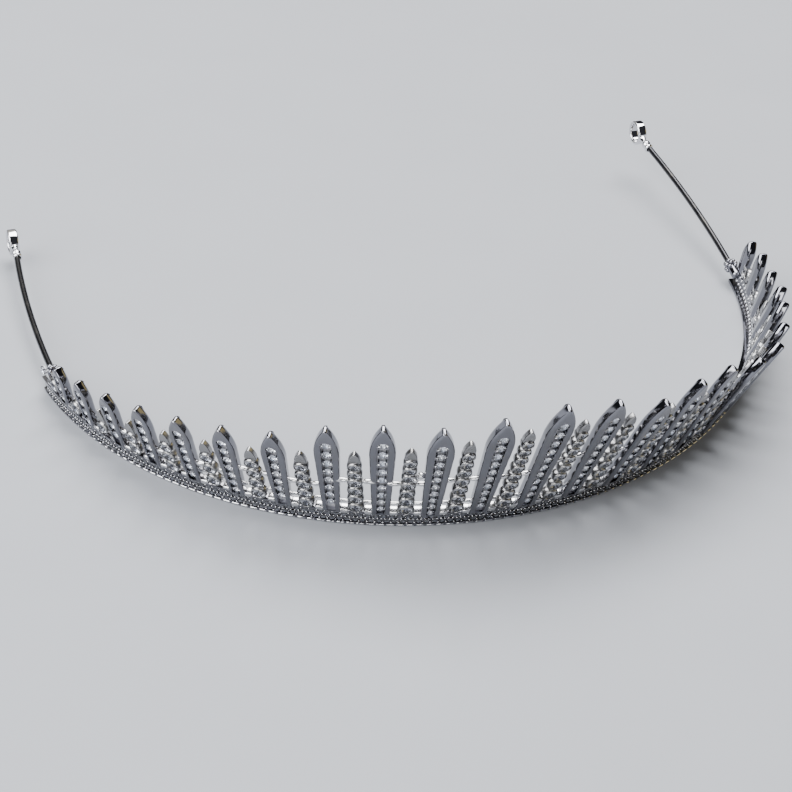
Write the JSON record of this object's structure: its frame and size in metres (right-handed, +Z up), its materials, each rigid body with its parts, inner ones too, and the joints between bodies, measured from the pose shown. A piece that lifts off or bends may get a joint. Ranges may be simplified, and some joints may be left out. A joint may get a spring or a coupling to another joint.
{
  "type": "tiara",
  "caption": "Fringe tiara of graduated pointed rays and stacked collets set with round stones, on a curved band with a wire and an end loop at each side.",
  "frame": {"origin": "centre of the rim's circle, on the surface that the tiara stands on", "axes": "+Z up, the front of the crown toward -Y, +X to the right seen from in front"},
  "size_m": [0.1448, 0.1247, 0.0334],
  "materials": {
    "silver": "mirror polished",
    "crystal": "cut and polished"
  },
  "bodies": {
    "root": {"frame": "silver", "large_ray_stones_left": "crystal", "large_ray_stones_right": "crystal", "small_ray_stones": "crystal", "side_wire_left": "silver", "side_wire_right": "silver", "end_loop_left": "silver", "end_loop_right": "silver"}
  },
  "joints": []
}
